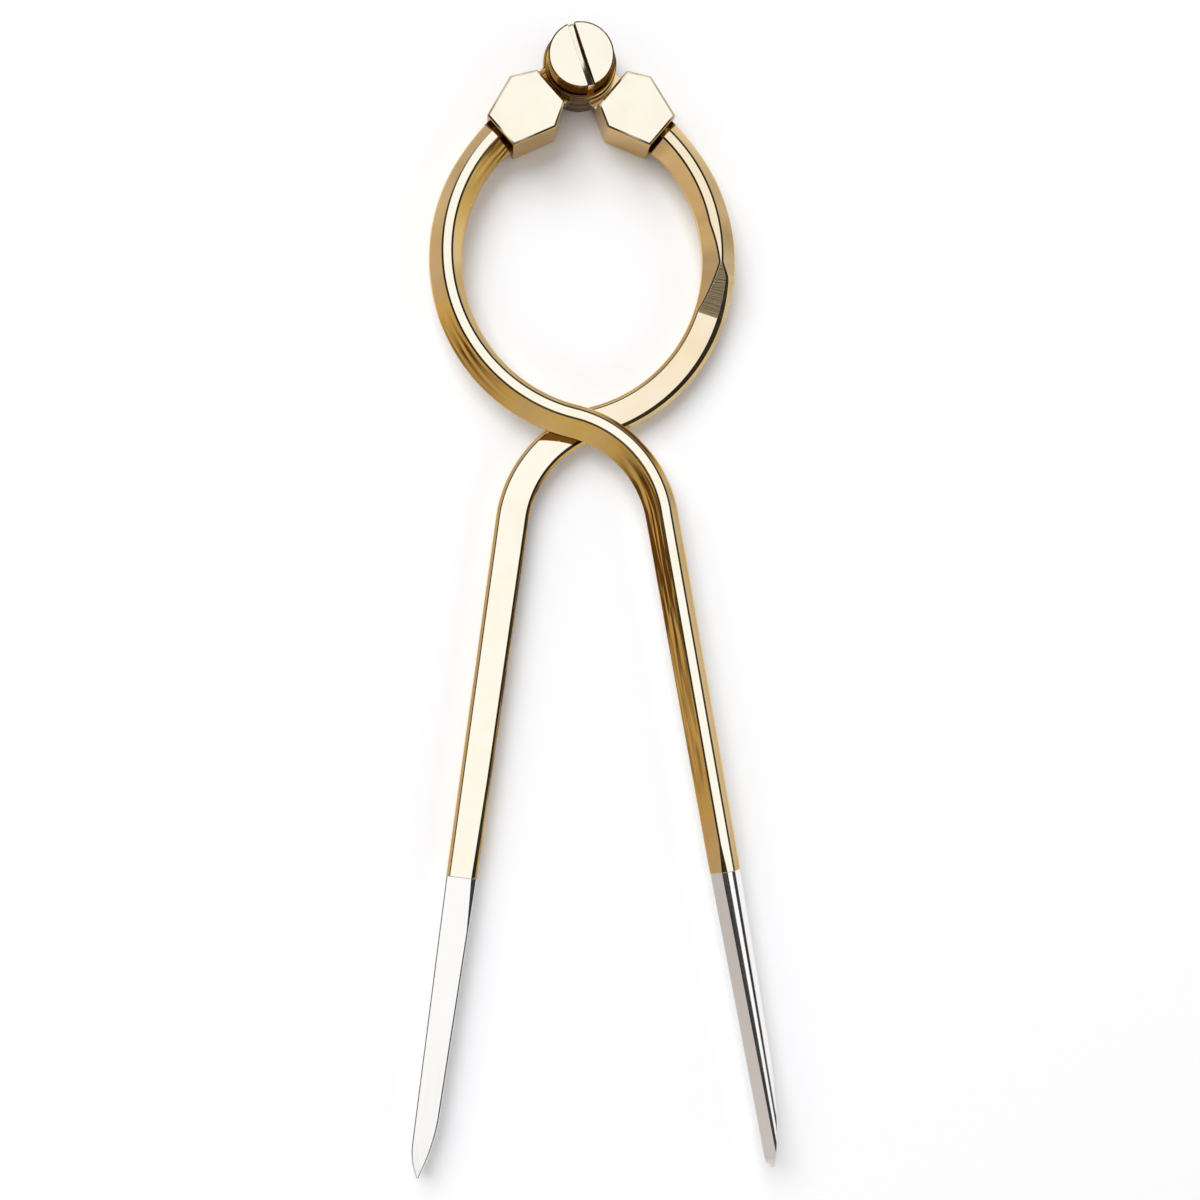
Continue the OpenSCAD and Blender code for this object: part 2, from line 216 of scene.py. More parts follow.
def shape(s):
    """Derived sizes of an arm in its own frame: leg along -Y, the middle plane at z = 0."""
    d = SimpleNamespace()
    d.crest_level = s.bar_depth / 2
    d.half_level = s.leg_gap / 2
    d.slope_rise = d.crest_level - s.side_land / 2
    d.collar_half = d.crest_level + s.collar_step
    d.collar_turn = math.radians(270) - s.collar_angle
    collar_foot = s.collar_end * direction(d.collar_turn)
    d.bow_centre = collar_foot + s.bow_radius * direction(d.collar_turn + math.pi / 2)
    d.bow_first = math.pi - s.collar_angle
    bend_across = s.leg_offset - s.bend_radius - d.bow_centre.x
    bend_down = math.sqrt((s.bow_radius + s.bend_radius) ** 2 - bend_across**2)
    d.bend_centre = Vector((s.leg_offset - s.bend_radius, d.bow_centre.y - bend_down))
    d.bend_turn = math.atan2(bend_down, -bend_across)
    d.bow_last = math.pi + d.bend_turn
    d.joint_level = s.tip_length - s.reach
    # Distances along the bar to the ends of its bow, its reverse bend and its leg
    d.bow_run = (d.bow_last - d.bow_first) * s.bow_radius
    d.bend_run = d.bow_run + d.bend_turn * s.bend_radius
    d.leg_run = d.bend_run + d.bend_centre.y - d.joint_level
    return d


def arm_places(s):
    """Name and placing of each arm. The rear arm is the front arm turned over about Y."""
    lift = Matrix.Translation((0, 0, MID_PLANE))
    front = lift @ Matrix.Rotation(s.half_opening, 4, "Z")
    rear = lift @ Matrix.Rotation(-s.half_opening, 4, "Z") @ Matrix.Rotation(math.pi, 4, "Y")
    return [("front", front), ("rear", rear)]


# Steps of the arc at a corner, the most of an edge that an arc may take, and its least turn
CORNER_STEPS = 3
ARC_SHARE = 0.45
LEAST_TURN = 1e-3


def rounded(corners, radii):
    """Points round a convex anticlockwise polygon, with an arc at each of its corners."""
    points = []
    for i, corner in enumerate(corners):
        here = Vector(corner)
        back = Vector(corners[i - 1]) - here
        ahead = Vector(corners[(i + 1) % len(corners)]) - here
        turn = max(math.pi - back.angle(ahead), LEAST_TURN)
        longest = ARC_SHARE * min(back.length, ahead.length)
        run = min(radii[i] * math.tan(turn / 2), longest)
        radius = run / math.tan(turn / 2)
        ahead.normalize()
        start = here + back.normalized() * run
        centre = here + ahead * run + Vector((-ahead.y, ahead.x)) * radius
        for j in range(CORNER_STEPS + 1):
            arc = Matrix.Rotation(turn * j / CORNER_STEPS, 2)
            points.append(centre + arc @ (start - centre))
    return points


def tones_round(edge_tones):
    """Tone of each point of a rounded outline, passing from edge to edge round the corners."""
    return [
        mix(edge_tones[i - 1], edge_tones[i], j / CORNER_STEPS)
        for i in range(len(edge_tones))
        for j in range(CORNER_STEPS + 1)
    ]


class Skin:
    """Points of a piece as they are laid, with the tone and the run of the polishing at each."""

    def __init__(self):
        self.points, self.tones, self.runs, self.faces, self.finishes = [], [], [], [], []

    def ring(self, points, tones, along):
        """Adds one closed ring of points, a distance along the run."""
        around = 0
        for i, point in enumerate(points):
            around += (point - points[i - 1]).length if i else 0
            self.points.append(point)
            self.tones.append(tones[i])
            self.runs.append((along, around, 0))

    def join(self, first, second, count):
        """Joins the ring that starts at one point to the ring that starts at another."""
        for i in range(count):
            j = (i + 1) % count
            self.face((first + i, second + i, second + j, first + j))

    def face(self, corners):
        """Adds one face in the piece's first finish."""
        self.faces.append(tuple(corners))
        self.finishes.append(0)

    def add(self, other):
        """Takes in the points and faces of another skin."""
        base = len(self.points)
        self.points += other.points
        self.tones += other.tones
        self.runs += other.runs
        self.faces += [tuple(base + i for i in face) for face in other.faces]
        self.finishes += other.finishes

    def piece(self, name, place, node, body, slot, *finishes):
        """Makes the object, rides it on its body and lets it stand for its CAD node."""
        mesh = bpy.data.meshes.new(name)
        mesh.from_pydata([place @ point.to_3d() for point in self.points], [], self.faces)
        mesh.attributes.new("tone", "FLOAT", "POINT").data.foreach_set("value", self.tones)
        runs = [value for run in self.runs for value in run]
        mesh.attributes.new("run", "FLOAT_VECTOR", "POINT").data.foreach_set("vector", runs)
        for surface in finishes:
            mesh.materials.append(finish(surface))
        mesh.polygons.foreach_set("material_index", self.finishes)
        form = bmesh.new()
        form.from_mesh(mesh)
        bmesh.ops.recalc_face_normals(form, faces=form.faces)
        form.to_mesh(mesh)
        form.free()
        mesh.shade_smooth()
        piece = bpy.data.objects.new(name, mesh)
        bpy.context.scene.collection.objects.link(piece)
        normals = piece.modifiers.new("Flats stay flat", "WEIGHTED_NORMAL")
        normals.weight = 100
        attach(piece, body)
        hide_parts(node)


def loft(rings, tones_at):
    """Skin over a row of rings, closed by caps. A ring is its points and its place on the run."""
    skin = Skin()
    count = len(rings[0][0])
    last = (len(rings) - 1) * count
    for points, along in rings:
        skin.ring(points, tones_at(along), along)
    for first in range(0, last, count):
        skin.join(first, first + count, count)
    skin.face(range(count))
    skin.face(range(last, last + count))
    return skin


TURNED_STEPS = 96


def turned(outline_at, tones, steps=TURNED_STEPS):
    """Skin of a closed outline of radius and height swung round Z, which may change on the way."""
    skin = Skin()
    for row in range(steps):
        turn = math.tau * row / steps
        outline = outline_at(turn)
        points = [Vector((r * math.cos(turn), r * math.sin(turn), z)) for r, z in outline]
        skin.ring(points, tones, turn * max(r for r, z in outline))
    count = len(outline)
    for row in range(steps):
        skin.join(row * count, (row + 1) % steps * count, count)
    return skin


def block(inner, outer, low, high):
    """Corners of an upright section, in the order of lower face, rim, upper face and bore."""
    return [(inner, low), (outer, low), (outer, high), (inner, high)]


def turned_solid(corners, radii, tones):
    """Skin of a turned solid whose section has rounded corners."""
    outline = rounded(corners, radii)
    return turned(lambda turn: outline, tones_round(tones))


def stood_up(outline, place, across):
    """Points of a section stood up at a place on the centre line, square to its run."""
    return [Vector((place.x + p.x * across.x, place.y + p.x * across.y, p.y)) for p in outline]


# Tone of each edge of the bar's section, anticlockwise: 0 is bright brass, a painted highlight on
# the flats, 1 golden brass, the shaded copy on the slopes, 2 brown, painted shade.
# The section's right is the outside of the bow and the inside of the leg.
BAR_TONES = {
    "cut face": 0, "right edge line": 0.5, "lower right slope": 0.72, "right land": 1.15,
    "upper right slope": 0.72, "right shoulder": 0.6, "crest": 0, "left shoulder": 0.6,
    "upper left slope": 0.75, "left land": 1.15, "lower left slope": 0.78, "left edge line": 0.5,
}
# Place of the cut face among the strips between a section's points
CUT_STRIP = CORNER_STEPS

# The section of a tip from its point to its joint: half its crest, and the shoulders beside that
TIP_FLAT = (0.17 * MM, 0.37 * MM)
TIP_INNER_SHOULDER = (0.45 * MM, 1.05 * MM)
TIP_OUTER_SHOULDER = (0.35 * MM, 0.6 * MM)
# The whole bar's lower slopes end below the middle plane by this share of half its land
LOWER_LAND_SHARE = 0.75


def bar_corners(s, d, width, cut, lean, bevel_share=0, pinch=0, ground=0, leg_share=0):
    """Corners of the bar's section, with all below the cut taken away and its crest leaning aside.

    The right side has the wide outer bevel by its share. A pinch narrows the cut face to the right.
    Where the bar is ground together with its tip, the right shoulder widens into the crest.
    The leg's share widens the shoulder on the right of the halved face, past 1 into the face.
    """
    side = width / 2
    crest = s.crest_width / 2
    flat = s.crest_flat / 2
    land = s.side_land / 2
    fall = math.tan(s.slope_tilt)
    climb = (cut + d.crest_level) / d.slope_rise
    halved = (cut + d.crest_level) / (d.half_level + d.crest_level)

    gain = (s.leg_line - s.edge_line) * halved
    left_line = mix(s.shoulder_width, s.edge_line, halved)
    right_line = left_line + (s.outer_line - s.edge_line) * halved * bevel_share + gain * leg_share
    left_tilt = mix(s.inner_tilt, s.shoulder_tilt, halved)
    right_tilt = mix(s.outer_tilt, s.shoulder_tilt, halved)
    right_bevel = mix(s.edge_bevel, s.outer_bevel, bevel_share)
    right_drop = mix(s.edge_drop, s.outer_drop, bevel_share)
    low_left = mix(lean + flat * (2 * pinch - 1), s.edge_bevel - side, halved)
    low_right = min(mix(lean + crest, side, climb), side - right_bevel)
    low_right -= (crest - flat) * (1 - halved) + gain * max(0, leg_share - 1)
    left_edge = low_left - left_line * math.cos(left_tilt)
    left_level = cut + left_line * math.sin(left_tilt)
    right_edge = low_right + right_line * math.cos(right_tilt)
    right_level = cut + right_line * math.sin(right_tilt)

    out, down = math.cos(s.shoulder_tilt), math.sin(s.shoulder_tilt)
    right_shoulder = mix(s.shoulder_width, TIP_INNER_SHOULDER[1], ground)
    crest_left, crest_right = lean - flat, lean + mix(flat, TIP_FLAT[1], ground)
    high_left = crest_left - s.shoulder_width * out
    high_right = crest_right + right_shoulder * out
    high_left_level = d.crest_level - s.shoulder_width * down
    high_right_level = d.crest_level - right_shoulder * down

    def highest(drop):
        """Most height of a lower slope: to the whole bar's land, or to the halved bar's drop."""
        return mix(-LOWER_LAND_SHARE * land, d.half_level + drop, halved)

    return [
        (low_left, cut),
        (low_right, cut),
        (right_edge, right_level),
        (side, min(right_level + (side - right_edge) * fall, highest(right_drop))),
        (side, max(land, high_right_level - (side - high_right) * fall)),
        (high_right, high_right_level),
        (crest_right, d.crest_level),
        (crest_left, d.crest_level),
        (high_left, high_left_level),
        (-side, max(land, high_left_level - (side + high_left) * fall)),
        (-side, min(left_level + (side + left_edge) * fall, highest(s.edge_drop))),
        (left_edge, left_level),
    ]


# Painted shade: the right upper slope warms from a share of the bow's run on, and cools again
# before the tip
WARM_FROM, WARM_MOST, WARM_TONE = 0.4, 2, 0.36
COOL_RUN = 25 * MM
# The cut face is a little golden until just past the bow
CUT_FACE_RUN, CUT_FACE_TONE = 1.15, 0.3
# Painted shade: on the leg, the right side below the crest turns warmer, into brown
LEG_SHADE_TONES = {"lower right slope": 1, "right land": 0.5}
# Painted shade: the sides of the bar's root in its collar are brown, where the collar shades them
ROOT_SHADE_RUN, ROOT_SHADE_TONE = 0.1 * MM, 30
ROOT_SHADE_EDGES = [edge for edge in BAR_TONES if "slope" in edge or "land" in edge]


def painted_shade_stretches(d):
    """Painted shade and reflections, darker stretches of the bar: the edge each is on, its middle
    on the run, its reach, its tone.
    """
    return [
        ("upper right slope", d.bend_run + 5 * MM, 22 * MM, 0.9),
        ("upper right slope", 40 * MM, 13 * MM, 0.63),
        ("upper left slope", 0, 18 * MM, 0.6),
        ("upper left slope", 0, 0.6 * d.bow_run, 0.12),
        ("upper left slope", 72 * MM, 8 * MM, 1.1),
    ]


def bar_tones(d, along):
    """Tones round the bar at a distance along it."""
    tones = dict(BAR_TONES)
    warm = held(along / d.bow_run - WARM_FROM, WARM_MOST)
    tones["upper right slope"] += WARM_TONE * warm * min(1, (d.leg_run - along) / COOL_RUN)
    tones["cut face"] += held(CUT_FACE_RUN - along / d.bow_run, CUT_FACE_TONE)
    for edge, middle, reach, tone in painted_shade_stretches(d):
        tones[edge] += tone * fade(abs(along - middle), reach)
    for edge, tone in LEG_SHADE_TONES.items():
        tones[edge] += tone * held((along - d.bow_run) / (d.bend_run - d.bow_run))
    if along < ROOT_SHADE_RUN:
        for edge in ROOT_SHADE_EDGES:
            tones[edge] += ROOT_SHADE_TONE
    return tones_round(list(tones.values()))


# Steps between sections: round the bow, beside the ramp's ends, on the leg and where it is ground
TURN_STEP = math.radians(1.5)
RAMP_CRISP = math.radians(0.2)
LEG_STEP = 6 * MM
GROUND_STEP = 0.7 * MM
# Lengths of leg that are ground together with the tip, and over which its inner shoulder widens
GROUND_RUN = 5 * MM
HEEL_RUN = 18 * MM
# Both sides of the joint between leg and tip are broken by this much
SEAM = 0.06 * MM
# Share of the crest that is pinched off at its ramp, and of the outer bevel that reaches the bend
PINCH_SHARE = 0.93
BEND_BEVEL = 0.5
BAR_FINE_ROUND = 0.12 * MM
FILED = 1


def leg_skin(s, d):
    """One bar from the collar: whole bow, ramp, halved bow, reverse bend and straight leg."""
    bow_angles = [d.bow_first]
    ramp_ends = (s.ramp_start, s.ramp_end)
    marks = [ramp_end + by for ramp_end in ramp_ends for by in (-RAMP_CRISP, RAMP_CRISP)]
    for mark in marks + [d.bow_last]:
        bow_angles += spread(bow_angles[-1], mark, TURN_STEP)
    fine, soft = BAR_FINE_ROUND, s.edge_round
    radii = [fine, fine, fine, soft, 2 * soft, fine, fine, fine, fine, 2 * soft, soft, fine]
    rings = []
    ramp_rows = []

    def stand(place, across, width, cut, along, **shares):
        lean = s.crest_side_shift * across.x + s.crest_shift * across.y
        corners = bar_corners(s, d, width, cut, lean, **shares)
        rings.append((stood_up(rounded(corners, radii), place, across), along))

    for turn in bow_angles:
        if s.ramp_start - RAMP_CRISP / 2 < turn < s.ramp_end:
            ramp_rows.append(len(rings))
        on_ramp = held((turn - s.ramp_start) / (s.ramp_end - s.ramp_start))
        past_ramp = max(0, turn - s.ramp_end) / (d.bow_last - s.ramp_end)
        width = s.bar_width + s.flare_width * fade(turn - d.bow_first, s.flare_angle) ** 2
        stand(
            d.bow_centre + s.bow_radius * direction(turn), direction(turn), width,
            mix(-d.crest_level, d.half_level, on_ramp), (turn - d.bow_first) * s.bow_radius,
            bevel_share=mix(1, BEND_BEVEL, past_ramp),
            pinch=PINCH_SHARE * fade(max(0, s.ramp_start - turn), s.pinch_angle),
        )
    for turn in spread(d.bend_turn, 0, TURN_STEP):
        left = turn / d.bend_turn
        stand(
            d.bend_centre + s.bend_radius * direction(turn), -direction(turn), s.bar_width,
            d.half_level, d.bow_run + (d.bend_turn - turn) * s.bend_radius,
            bevel_share=BEND_BEVEL * left, leg_share=1 - left,
        )
    levels = spread(d.bend_centre.y, d.joint_level + GROUND_RUN, LEG_STEP)
    levels += spread(d.joint_level + GROUND_RUN, d.joint_level + SEAM, GROUND_STEP)
    for level in levels + [d.joint_level]:
        share = (d.bend_centre.y - level) / (d.bend_centre.y - d.joint_level)
        width = mix(s.bar_width, s.joint_width, share)
        if level == d.joint_level:
            width -= 2 * SEAM
        stand(
            Vector((s.leg_offset, level)), Vector((-1, 0)), width,
            d.half_level, d.bend_run + d.bend_centre.y - level,
            ground=fade(level - d.joint_level, GROUND_RUN),
            leg_share=1 + fade(level - d.joint_level, HEEL_RUN),
        )
    skin = loft(rings, lambda along: bar_tones(d, along))
    for row in ramp_rows:
        skin.finishes[row * len(rings[0][0]) + CUT_STRIP] = FILED
    return skin


def blade_half(s, from_end):
    """Half the width of a tip's blade, before its point closes in."""
    return mix(s.tip_width, s.joint_width, from_end / s.tip_length) / 2


def tip_edge(s, from_end, close_from, end_edge, end_radius):
    """Distance of a tip's edge from the middle: the blade's side, an arc inwards, the end's arc."""
    if from_end >= close_from:
        return blade_half(s, from_end)
    if from_end < end_radius:
        rise = math.sqrt(max(0, end_radius**2 - (end_radius - from_end) ** 2))
        return end_edge - end_radius + rise
    side = blade_half(s, close_from)
    run, move_in = close_from - end_radius, side - end_edge
    arc_radius = (run**2 + move_in**2) / (2 * move_in)
    return side - arc_radius + math.sqrt(arc_radius**2 - (close_from - from_end) ** 2)


def height_at(x, line):
    """Height at x on a line of (x, height) points that runs to the right."""
    for (x0, z0), (x1, z1) in zip(line, line[1:]):
        if x <= x1:
            return mix(z0, z1, max(0, x - x0) / (x1 - x0))
    return line[-1][1]


# Steps between a tip's sections: along the blade, where it closes in, and round its end
BLADE_STEP = 5 * MM
POINT_STEP = 0.4 * MM
END_TURN, END_STEP = 0.12, 0.2
# Fall of the outer shoulder for its width, and the least share of the blade between two corners
OUTER_FALL = 0.25
LEAST_SHARE = 0.02
# The end is ground aslant: its height in point thicknesses, its rise along the blade and its slant
GRIND_HEIGHT, GRIND_RISE, GRIND_SLANT = 1.5, 0.35, 0.8
# Bevel and shoulder on the halved face's edges, and the most of the blade's half that each takes
TIP_BEVEL = 0.1 * MM
TIP_LINE = 0.16 * MM
TIP_LINE_SHARE = 0.3
# The inner shoulder there is wider, and widest at the joint, from a share of the blade on
TIP_INNER_LINE = (0.24 * MM, 0.9 * MM)
TIP_INNER_FROM = 0.84
TIP_INNER_SHARE = 0.4
TIP_FINE_ROUND, TIP_SOFT_ROUND = 0.06 * MM, 0.2 * MM


def tip_skin(s, d, end_width, offset, outer_length, inner_length):
    """One tip: the leg's halved bar tapered on and ground to its point."""
    end_radius = end_width / 2
    places = [s.tip_length, s.tip_length - SEAM]
    places += spread(places[-1], max(outer_length, inner_length), BLADE_STEP)
    places += spread(places[-1], end_radius, POINT_STEP)
    places += [end_radius * (1 - math.cos(t)) for t in spread(math.pi / 2, END_TURN, END_STEP)]
    out, down = math.cos(s.shoulder_tilt), math.sin(s.shoulder_tilt)
    fine, soft = TIP_FINE_ROUND, TIP_SOFT_ROUND
    radii = [fine, fine, fine, fine, soft, soft, fine, fine, soft, soft, fine, fine]
    lean = -s.crest_side_shift
    land = s.side_land / 2
    base = d.half_level
    rings = []
    for place in places:
        share = place / s.tip_length
        half = blade_half(s, place)
        broken = SEAM if place == s.tip_length else 0
        inner = tip_edge(s, place, inner_length, end_radius - offset, end_radius) - broken
        outer = tip_edge(s, place, outer_length, end_radius + offset, end_radius) - broken
        room = (inner + outer) / 2

        flat = mix(*TIP_FLAT, share)
        inner_shoulder = mix(*TIP_INNER_SHOULDER, share)
        outer_shoulder = mix(*TIP_OUTER_SHOULDER, share)
        roof = [
            (-half, land),
            (lean - flat - outer_shoulder, d.crest_level - OUTER_FALL * outer_shoulder),
            (lean - flat, d.crest_level),
            (lean + flat, d.crest_level),
            (lean + flat + inner_shoulder * out, d.crest_level - inner_shoulder * down),
            (half, land),
        ]
        least = 2 * LEAST_SHARE * room
        last = len(roof) - 1
        across = [
            min(max(x, i * least - outer), inner - (last - i) * least)
            for i, (x, z) in enumerate(roof)
        ]
        across[0], across[last] = -outer, inner
        ground = base + GRIND_HEIGHT * s.point_thickness + GRIND_RISE * place
        ground -= GRIND_SLANT * (end_radius + offset)
        top = [(x, min(height_at(x, roof), ground - GRIND_SLANT * x)) for x in across]

        bevel = min(TIP_BEVEL, TIP_LINE_SHARE * room)
        outer_line = min(TIP_LINE, TIP_LINE_SHARE * room)
        near_joint = max(0, (share - TIP_INNER_FROM) / (1 - TIP_INNER_FROM))
        inner_line = min(mix(*TIP_INNER_LINE, near_joint), TIP_INNER_SHARE * room)
        corners = [
            (bevel + outer_line * out - outer, base),
            (inner - bevel - inner_line * out, base),
            (inner - bevel, base + inner_line * down),
            (inner, base + inner_line * down + bevel),
            *reversed(top),
            (-outer, base + outer_line * down + bevel),
            (bevel - outer, base + outer_line * down),
        ]
        middle = Vector((s.leg_offset, place - s.reach))
        outline = stood_up(rounded(corners, radii), middle, Vector((-1, 0)))
        rings.append((outline, s.tip_length - place))
    tones = tones_round(list(BAR_TONES.values()))
    return loft(rings, lambda along: tones)


# A flat strip this narrow inside a shoulder keeps the shading of shoulder and flat apart
STRIP = 0.03 * MM
# Tone of the brown painted shade on the brass in the hinge, between and under its parts
HINGE_SHADE_TONE = 3.2
# Faces of a collar that meet at less than this are one flat
FLAT_LIMIT = math.radians(1)
# The bevel of a collar's edges: its offset for its radius, and its steps
BEVEL_OFFSET, BEVEL_STEPS = 0.6, 4
# How nearly a collar's face has to look up or down to be bright, a painted highlight, and towards
# the bow to be brown, painted shade where the bar meets it
HIGHLIGHT_FACING, BOW_SHADE_FACING = 0.85, 0.95


def collar_body_skin(s, d):
    """Hexagonal body of a collar, with its inner face slanted away below the middle plane."""
    start = s.lug_radius + s.swing_room
    stop_slope = math.tan(s.stop_angle)
    relief = start + s.collar_relief
    drop = s.collar_line * math.tan(s.collar_tilt)
    rim = d.collar_half - drop
    corners = [(start, start * stop_slope, z) for z in (rim, 0)]
    corners.append((relief, relief * stop_slope, -rim))
    corners += [(s.collar_waist, s.collar_waist * stop_slope, z) for z in (-rim, rim)]
    corners += [(s.collar_end, s.bar_width / 2 + s.collar_lip, z) for z in (-rim, rim)]
    form = bmesh.new()
    for along, across, z in corners:
        form.verts.new((along, across, z))
        form.verts.new((along, -across, z))
    hull = bmesh.ops.convex_hull(form, input=form.verts)
    inside = [part for part in hull["geom_interior"] if isinstance(part, bmesh.types.BMVert)]
    bmesh.ops.delete(form, geom=inside, context="VERTS")
    bmesh.ops.dissolve_limit(form, angle_limit=FLAT_LIMIT, verts=form.verts, edges=form.edges)
    bmesh.ops.bevel(
        form, geom=form.edges[:], offset=s.collar_round * BEVEL_OFFSET, segments=BEVEL_STEPS,
        profile=0.5, affect="EDGES",
    )
    form.normal_update()
    flats = sorted(form.faces, key=lambda face: face.calc_area() * abs(face.normal.z))[-2:]
    for width, depth in ((s.collar_line, drop), (STRIP, 0)):
        bmesh.ops.inset_region(
            form, faces=flats, thickness=width, depth=depth, use_even_offset=True
        )
    return along_collar(form, d)


def along_collar(form, d):
    """Skin of a form drawn along X, turned so that it lies along the collar."""
    skin = Skin()
    turn = Matrix.Rotation(d.collar_turn, 4, "Z")
    form.normal_update()
    form.verts.index_update()
    for vert in form.verts:
        facing = max(vert.link_faces, key=lambda face: face.calc_area()).normal
        # The flats get the bright brass of a painted highlight, the end face towards the bow the
        # brown of painted shade, the rest golden brass
        bright, brown = abs(facing.z) > HIGHLIGHT_FACING, facing.x > BOW_SHADE_FACING
        skin.points.append(turn @ vert.co)
        skin.tones.append(0 if bright else HINGE_SHADE_TONE if brown else 1)
        skin.runs.append((vert.co.x, vert.co.y + vert.co.z, 0))
    for face in form.faces:
        skin.face(vert.index for vert in face.verts)
    form.free()
    return skin


# Tones of turned pieces, in the order of lower face, rim, upper face and bore; their brown is
# painted shade in the hinge
LUG_TONES = [0.6, HINGE_SHADE_TONE, 1.6, HINGE_SHADE_TONE]
RING_TONES = [2, HINGE_SHADE_TONE, 2.6, HINGE_SHADE_TONE]
SHANK_TONES = [1, 1, 1, 1]
# Roundings of turned pieces, in the order of the corners from the bore's foot round
LUG_ROUNDS = [0.05 * MM, 0.15 * MM, 0.15 * MM, 0.05 * MM]
SHANK_ROUNDS = [0.005 * MM, 0.3 * MM, 0.05 * MM, 0.005 * MM]
WASHER_ROUND = 0.08 * MM
FLANGE_ROUND = 0.05 * MM
SLEEVE_ROUND = 0.1 * MM
# A solid disc is turned from this radius outwards, because a section can't touch its axis
CENTRE = 0.01 * MM
# How far one turned solid runs into the next, and the nut's flange into its floor
OVERLAP = 0.1 * MM
FLOOR_OVERLAP = 0.3 * MM
# Room between the shank and the nut, and the thickness of the spring washer's sheet
RUNNING_ROOM = 0.05 * MM
SPRING_SHEET = 0.35 * MM


def lug_skin(s, d):
    """Lug of a collar: a bored disc with a neck that runs into the collar."""
    neck_half = (s.lug_radius + s.swing_room) * math.tan(s.stop_angle)
    neck_end = s.collar_waist
    corner = math.atan2(neck_half, neck_end)
    shoulder = math.asin(neck_half / s.lug_radius)

    def outline_at(turn):
        turn = (turn - d.collar_turn + math.pi) % math.tau - math.pi
        reach = s.lug_radius
        if abs(turn) < corner:
            reach = neck_end / math.cos(turn)
        elif abs(turn) < shoulder:
            reach = neck_half / abs(math.sin(turn))
        return rounded(block(s.pivot_bore, reach, s.lug_low, s.lug_high), LUG_ROUNDS)

    return turned(outline_at, tones_round(LUG_TONES), 2 * TURNED_STEPS)


def ring_skin(bore, radius, low, high, edge):
    """A flat ring with softened edges."""
    return turned_solid(block(bore, radius, low, high), [edge] * 4, RING_TONES)


# Steps of each half of the screw head's rim, of the arc on its edge, and along its slot
HEAD_STEPS = 64
EDGE_STEP = 0.32
SLOT_STEPS = 32
# The saw that cut the slot left its edges sharper than the rim, and its floor a little hollow
SLOT_EDGE_SHARE = 0.2
SLOT_HOLLOW = 0.4
SLOT_ROUND = 0.02 * MM
# The slot's floor gets the bright brass of a painted highlight, its walls golden brass
SLOT_TONES = [1, 1, 0.1, 1]


def half_head_skin(outline, low, high, edge, line, tilt):
    """Half a screw head on its anticlockwise outline, its top edge rounded into a tilted shoulder.

    The wall from the last point to the first is the slot's, where that edge is sharper.
    """
    count = len(outline)

    def inset(by):
        points = []
        for i, point in enumerate(outline):
            back = (point - outline[i - 1]).normalized()
            ahead = (outline[(i + 1) % count] - point).normalized()
            from_back = by * (SLOT_EDGE_SHARE if i == 0 else 1)
            from_ahead = by * (SLOT_EDGE_SHARE if i == count - 1 else 1)
            points.append(point + (ahead * from_back - back * from_ahead) / back.cross(ahead))
        return points

    crown = high - line * math.tan(tilt) - edge * math.cos(tilt)
    levels = [(0, low), (0, crown)]
    for turn in spread(0, math.pi / 2 - tilt, EDGE_STEP):
        levels.append((edge * (1 - math.cos(turn)), crown + edge * math.sin(turn)))
    for width in (line, STRIP):
        levels.append((levels[-1][0] + width, high))
    rings = [([p.to_3d() + Vector((0, 0, z)) for p in inset(by)], z) for by, z in levels]
    # The face gets the bright brass of a painted highlight, the sides the brown of painted shade in
    # the hinge
    return loft(rings, lambda z: [0 if z == high else HINGE_SHADE_TONE] * count)


def add_node(tree, kind, inputs=None, **settings):
    """Adds a node with its settings and inputs. An input may be a value, an output or a node.

    A node is linked by its first output.
    """
    node = tree.nodes.new("ShaderNode" + kind)
    for name, value in settings.items():
        setattr(node, name, value)
    for name, value in (inputs or {}).items():
        if isinstance(value, bpy.types.Node):
            value = value.outputs[0]
        if isinstance(value, bpy.types.NodeSocket):
            tree.links.new(value, node.inputs[name])
        else:
            node.inputs[name].default_value = value
    return node


def lined_metal(tree, tint, long, apart, noise, gloss, relief):
    """Ends a metal's nodes: a tool's lines, so long on the run and so far apart round it."""
    run = add_node(tree, "Attribute", attribute_name="run").outputs["Vector"]
    lay = add_node(tree, "Mapping", {"Vector": run, "Scale": (1 / long, 1 / apart, 1)})
    lines = add_node(tree, "TexNoise", {"Vector": lay, "Scale": 1, **noise})
    rough = add_node(tree, "MapRange", {"Value": lines, **gloss})
    bump = add_node(tree, "Bump", {"Height": lines, **relief})
    metal = {"Base Color": tint, "Metallic": 1, "Roughness": rough, "Normal": bump}
    shader = add_node(tree, "BsdfPrincipled", metal)
    add_node(tree, "OutputMaterial", {"Surface": shader})


